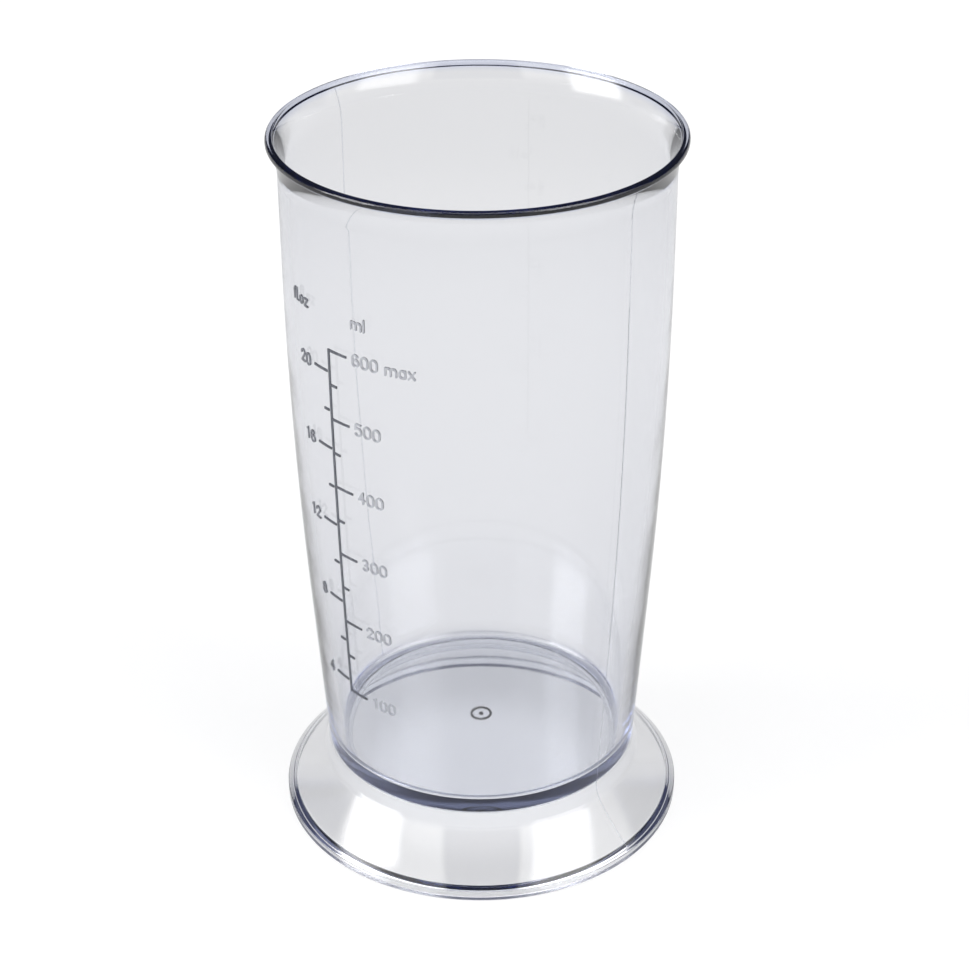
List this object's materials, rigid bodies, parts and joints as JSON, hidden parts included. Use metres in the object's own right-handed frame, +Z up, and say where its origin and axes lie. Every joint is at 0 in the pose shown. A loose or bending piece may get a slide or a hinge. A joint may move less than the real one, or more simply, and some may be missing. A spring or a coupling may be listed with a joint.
{
  "type": "immersion blender beaker",
  "caption": "Clear plastic measuring and mixing beaker of an immersion blender: a tall tapered cup with a lip, a raised ml and fl oz scale, and a hollow flared foot.",
  "frame": {"origin": "middle of the resting face under the foot, on the beaker's axis", "axes": "+Z up along the axis to the mouth; the mould's parting plane is XZ; the scale is on the side that faces -Y"},
  "size_m": [0.1006, 0.1006, 0.1792],
  "materials": {
    "clear_plastic": "clear polished SAN, faintly blue"
  },
  "bodies": {
    "root": {"rim": "clear_plastic", "wall": "clear_plastic", "cup_floor": "clear_plastic", "foot_skirt": "clear_plastic", "foot_ring": "clear_plastic", "scale_line": "clear_plastic", "ml_ticks": "clear_plastic", "ml_numbers": "clear_plastic", "ml_heading": "clear_plastic", "fl_oz_ticks": "clear_plastic", "fl_oz_numbers": "clear_plastic", "fl_oz_heading": "clear_plastic", "parting_lines": "clear_plastic", "gate_mark": "clear_plastic"}
  },
  "joints": []
}
